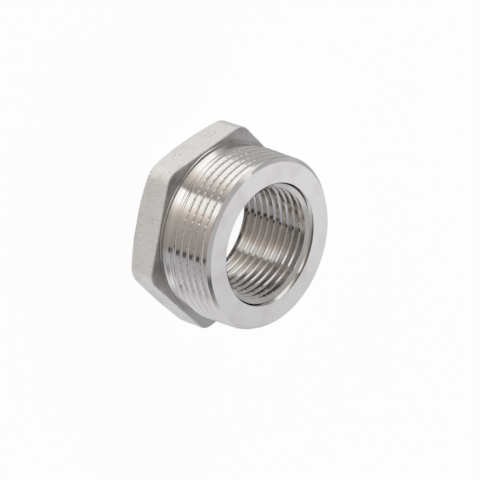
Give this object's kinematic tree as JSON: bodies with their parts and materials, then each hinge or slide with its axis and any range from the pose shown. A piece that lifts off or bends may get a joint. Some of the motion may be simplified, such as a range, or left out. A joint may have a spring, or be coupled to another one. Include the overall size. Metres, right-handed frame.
{
  "type": "hex bushing",
  "caption": "Reducing pipe bushing with a hexagon head, a tapered outside thread and a smaller parallel threaded bore right through.",
  "frame": {"origin": "centre of the bore in the hexagon head's back face, which it stands on", "axes": "+Z along the bore from the hexagon head to the threaded nose, +X through a corner of the hexagon"},
  "size_m": [0.0554, 0.0492, 0.0254],
  "materials": {
    "stainless": "grainy cast skin on the hexagon, turned and thread-cut elsewhere"
  },
  "bodies": {
    "root": {"hex_bushing": "stainless"}
  },
  "joints": []
}
